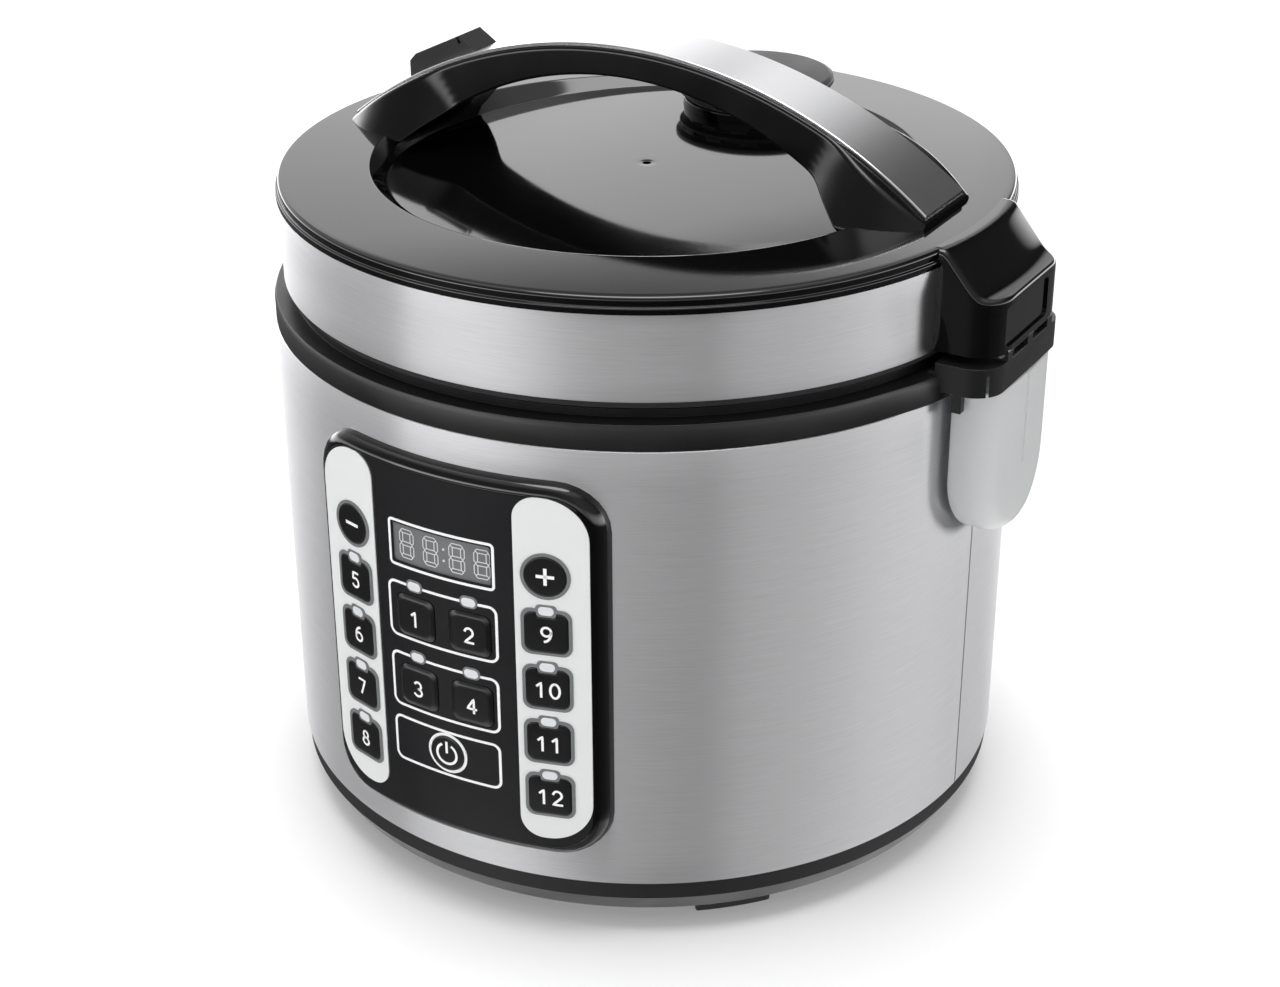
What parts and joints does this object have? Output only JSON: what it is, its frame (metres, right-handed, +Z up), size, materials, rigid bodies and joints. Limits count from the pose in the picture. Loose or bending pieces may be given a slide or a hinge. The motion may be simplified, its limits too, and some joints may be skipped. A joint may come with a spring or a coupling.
{
  "type": "slow cooker",
  "caption": "Round countertop slow cooker: brushed steel body, black hinged lid with arched handle, steam vent, drip cup and a curved keypad with display.",
  "frame": {"origin": "middle of the round body on the plane of the feet", "axes": "+Z up; the control panel faces -Y; the lid hinge and the drip cup are at +X and the lid release at -X"},
  "size_m": [0.285, 0.2774, 0.2825],
  "materials": {
    "brushed_steel": "brushed",
    "gloss_black": "high gloss",
    "satin_black": "satin",
    "dark_lining": "satin",
    "foot_rubber": "matte",
    "aluminium": "satin",
    "nonstick": "satin",
    "plain_steel": "satin",
    "heater_foil": "satin",
    "board_green": "satin",
    "board_part": "satin",
    "contact_brass": "satin",
    "silver_trim": "satin metallic",
    "display_glass": "gloss",
    "pale_print": "matte",
    "grey_print": "matte",
    "lamp_lens": "gloss",
    "key_black": "satin",
    "milky_plastic": "translucent satin",
    "silicone": "matte"
  },
  "bodies": {
    "base": {"base_pan": "satin_black", "feet": "foot_rubber", "outer_wrap": "brushed_steel", "body_rim": "satin_black", "liner": "aluminium", "heating_plate": "aluminium", "heater_element": "plain_steel", "band_heater": "heater_foil", "power_board": "board_green", "board_parts": "board_part", "inlet_socket": "satin_black", "inlet_pins": "contact_brass", "base_screws": "plain_steel", "panel_bezel": "gloss_black", "silver_strips": "silver_trim", "display_lens": "display_glass", "display_digits": "pale_print", "printed_frames": "grey_print", "status_lights": "lamp_lens", "switch_board": "board_green", "hinge_pin": "plain_steel", "hinge_springs": "plain_steel", "latch_catch": "plain_steel", "thermostat_spring": "plain_steel"},
    "pot": {"cooking_pot": "nonstick"},
    "sensor": {"thermostat": "aluminium"},
    "lid": {"lid_shell": "gloss_black", "lid_band": "brushed_steel", "lid_lining": "dark_lining", "inner_lid": "aluminium", "lid_gasket": "silicone", "handle_arch": "gloss_black", "handle_trim": "brushed_steel", "hinge_cover": "gloss_black", "vent_base": "satin_black", "steam_tube": "plain_steel", "handle_screws": "plain_steel", "claw_pin": "plain_steel", "button_pin": "plain_steel"},
    "vent": {"vent_cap": "satin_black"},
    "release": {"release_button": "satin_black"},
    "claw": {"latch_claw": "plain_steel"},
    "cup": {"drip_cup": "milky_plastic"},
    "key_minus": {"key_minus": "key_black"},
    "key_plus": {"key_plus": "key_black"},
    "key_power": {"key_power": "key_black"},
    "key_left_1": {"key_left_1": "key_black"},
    "key_left_2": {"key_left_2": "key_black"},
    "key_left_3": {"key_left_3": "key_black"},
    "key_left_4": {"key_left_4": "key_black"},
    "key_right_1": {"key_right_1": "key_black"},
    "key_right_2": {"key_right_2": "key_black"},
    "key_right_3": {"key_right_3": "key_black"},
    "key_right_4": {"key_right_4": "key_black"},
    "key_mid_1": {"key_mid_1": "key_black"},
    "key_mid_2": {"key_mid_2": "key_black"},
    "key_mid_3": {"key_mid_3": "key_black"},
    "key_mid_4": {"key_mid_4": "key_black"}
  },
  "joints": [
    {"name": "lid_hinge", "type": "hinge", "parent": "base", "child": "lid", "pos_m": [0.1466, 0, 0.2038], "axis": [0, 1, 0], "range_deg": [0, 80]},
    {"name": "vent_lift", "type": "slide", "parent": "lid", "child": "vent", "axis": [0, 0, 1], "range_m": [0, 0.03]},
    {"name": "release_press", "type": "hinge", "parent": "lid", "child": "release", "pos_m": [-0.0925, 0, 0.254], "axis": [0, 1, 0], "range_deg": [0, 5], "stiffness_Nm_per_rad": 0.5, "springref_deg": -2.86},
    {"name": "claw_swing", "type": "hinge", "parent": "lid", "child": "claw", "pos_m": [-0.1232, 0, 0.222], "axis": [0, 1, 0], "range_deg": [-3, 0]},
    {"name": "cup_pull", "type": "slide", "parent": "base", "child": "cup", "axis": [1, 0, 0], "range_m": [0, 0.04]},
    {"name": "sensor_press", "type": "slide", "parent": "base", "child": "sensor", "axis": [0, 0, -1], "range_m": [0, 0.0025], "stiffness_N_per_m": 400, "springref_m": -0.0025, "deforming": ["thermostat_spring"]},
    {"name": "pot_turn", "type": "hinge", "parent": "base", "child": "pot", "pos_m": [0, 0, 0.052], "axis": [0, 0, 1], "continuous": true},
    {"name": "key_minus_press", "type": "slide", "parent": "base", "child": "key_minus", "axis": [0.2504, 0.9681, 0], "range_m": [0, 0.0008], "stiffness_N_per_m": 1500, "springref_m": -0.0003},
    {"name": "key_plus_press", "type": "slide", "parent": "base", "child": "key_plus", "axis": [-0.2907, 0.9568, 0], "range_m": [0, 0.0008], "stiffness_N_per_m": 1500, "springref_m": -0.0003},
    {"name": "key_power_press", "type": "slide", "parent": "base", "child": "key_power", "axis": [-0.0209, 0.9998, 0], "range_m": [0, 0.0008], "stiffness_N_per_m": 1500, "springref_m": -0.0003},
    {"name": "key_left_1_press", "type": "slide", "parent": "base", "child": "key_left_1", "axis": [0.2504, 0.9681, 0], "range_m": [0, 0.0008], "stiffness_N_per_m": 1500, "springref_m": -0.0003},
    {"name": "key_left_2_press", "type": "slide", "parent": "base", "child": "key_left_2", "axis": [0.2504, 0.9681, 0], "range_m": [0, 0.0008], "stiffness_N_per_m": 1500, "springref_m": -0.0003},
    {"name": "key_left_3_press", "type": "slide", "parent": "base", "child": "key_left_3", "axis": [0.2504, 0.9681, 0], "range_m": [0, 0.0008], "stiffness_N_per_m": 1500, "springref_m": -0.0003},
    {"name": "key_left_4_press", "type": "slide", "parent": "base", "child": "key_left_4", "axis": [0.2504, 0.9681, 0], "range_m": [0, 0.0008], "stiffness_N_per_m": 1500, "springref_m": -0.0003},
    {"name": "key_right_1_press", "type": "slide", "parent": "base", "child": "key_right_1", "axis": [-0.2907, 0.9568, 0], "range_m": [0, 0.0008], "stiffness_N_per_m": 1500, "springref_m": -0.0003},
    {"name": "key_right_2_press", "type": "slide", "parent": "base", "child": "key_right_2", "axis": [-0.2907, 0.9568, 0], "range_m": [0, 0.0008], "stiffness_N_per_m": 1500, "springref_m": -0.0003},
    {"name": "key_right_3_press", "type": "slide", "parent": "base", "child": "key_right_3", "axis": [-0.2907, 0.9568, 0], "range_m": [0, 0.0008], "stiffness_N_per_m": 1500, "springref_m": -0.0003},
    {"name": "key_right_4_press", "type": "slide", "parent": "base", "child": "key_right_4", "axis": [-0.2907, 0.9568, 0], "range_m": [0, 0.0008], "stiffness_N_per_m": 1500, "springref_m": -0.0003},
    {"name": "key_mid_1_press", "type": "slide", "parent": "base", "child": "key_mid_1", "axis": [0.0558, 0.9984, 0], "range_m": [0, 0.0008], "stiffness_N_per_m": 1500, "springref_m": -0.0003},
    {"name": "key_mid_2_press", "type": "slide", "parent": "base", "child": "key_mid_2", "axis": [-0.0976, 0.9952, 0], "range_m": [0, 0.0008], "stiffness_N_per_m": 1500, "springref_m": -0.0003},
    {"name": "key_mid_3_press", "type": "slide", "parent": "base", "child": "key_mid_3", "axis": [0.0558, 0.9984, 0], "range_m": [0, 0.0008], "stiffness_N_per_m": 1500, "springref_m": -0.0003},
    {"name": "key_mid_4_press", "type": "slide", "parent": "base", "child": "key_mid_4", "axis": [-0.0976, 0.9952, 0], "range_m": [0, 0.0008], "stiffness_N_per_m": 1500, "springref_m": -0.0003}
  ],
  "couplings": [
    {"joint": "claw_swing", "follows": "release_press", "ratio": -0.6}
  ]
}
